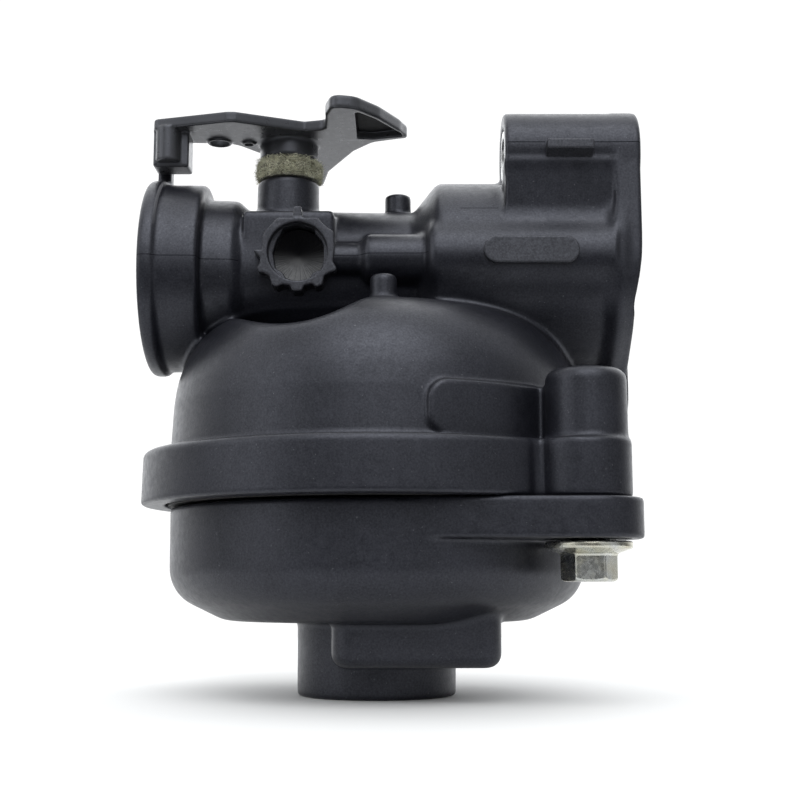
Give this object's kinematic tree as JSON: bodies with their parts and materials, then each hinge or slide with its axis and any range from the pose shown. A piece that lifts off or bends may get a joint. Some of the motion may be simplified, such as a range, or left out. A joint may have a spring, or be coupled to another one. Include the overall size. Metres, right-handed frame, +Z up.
{
  "type": "float carburetor",
  "caption": "Float-bowl carburetor with a moulded plastic body, a vertical throttle shaft with a flat control lever, a diagonal air-cleaner flange and a hose nipple.",
  "frame": {"origin": "centre of the round foot under the float bowl, where the part rests", "axes": "+Z up; +X along the air bore, from the engine bell to the air-cleaner flange; -Y is the side with the adjusting port"},
  "size_m": [0.0804, 0.0884, 0.0942],
  "materials": {
    "black_nylon": "satin moulded, fine spark texture",
    "dark_acetal": "satin",
    "black_rubber": "matte",
    "zinc_plate": "bright zinc plating",
    "steel": "ground",
    "brass": "turned",
    "cream_felt": "wool felt"
  },
  "bodies": {
    "carburetor": {"carburetor_body": "black_nylon", "float_bowl": "black_nylon", "bowl_gasket": "black_rubber", "bowl_bolt_front": "zinc_plate", "bowl_bolt_rear": "zinc_plate", "felt_seal": "cream_felt", "intake_o_ring": "black_rubber", "stud_sleeve": "steel", "threaded_insert": "brass", "fuel_inlet_nipple": "brass", "needle_seat": "black_rubber", "float_hinge_pin": "steel", "main_nozzle": "brass", "main_jet": "brass", "main_air_jet": "brass", "idle_air_jet": "brass", "mixture_port_plug": "dark_acetal"},
    "throttle": {"throttle_lever": "dark_acetal", "throttle_shaft": "steel", "throttle_plate": "brass", "throttle_plate_screw": "steel"},
    "float": {"main_float": "dark_acetal"},
    "needle": {"inlet_needle": "steel"}
  },
  "joints": [
    {"name": "throttle_turn", "type": "hinge", "parent": "carburetor", "child": "throttle", "pos_m": [-0.0152, 0, 0.0685], "axis": [0, 0, 1], "range_deg": [0, 75]},
    {"name": "float_rise", "type": "hinge", "parent": "carburetor", "child": "float", "pos_m": [0, 0.0245, 0.0405], "axis": [-1, 0, 0], "range_deg": [0, 8]},
    {"name": "needle_lift", "type": "slide", "parent": "carburetor", "child": "needle", "axis": [0, 0, 1], "range_m": [0, 0.0012]}
  ],
  "couplings": [
    {"joint": "needle_lift", "follows": "float_rise", "m_per_rad": 0.0075}
  ]
}
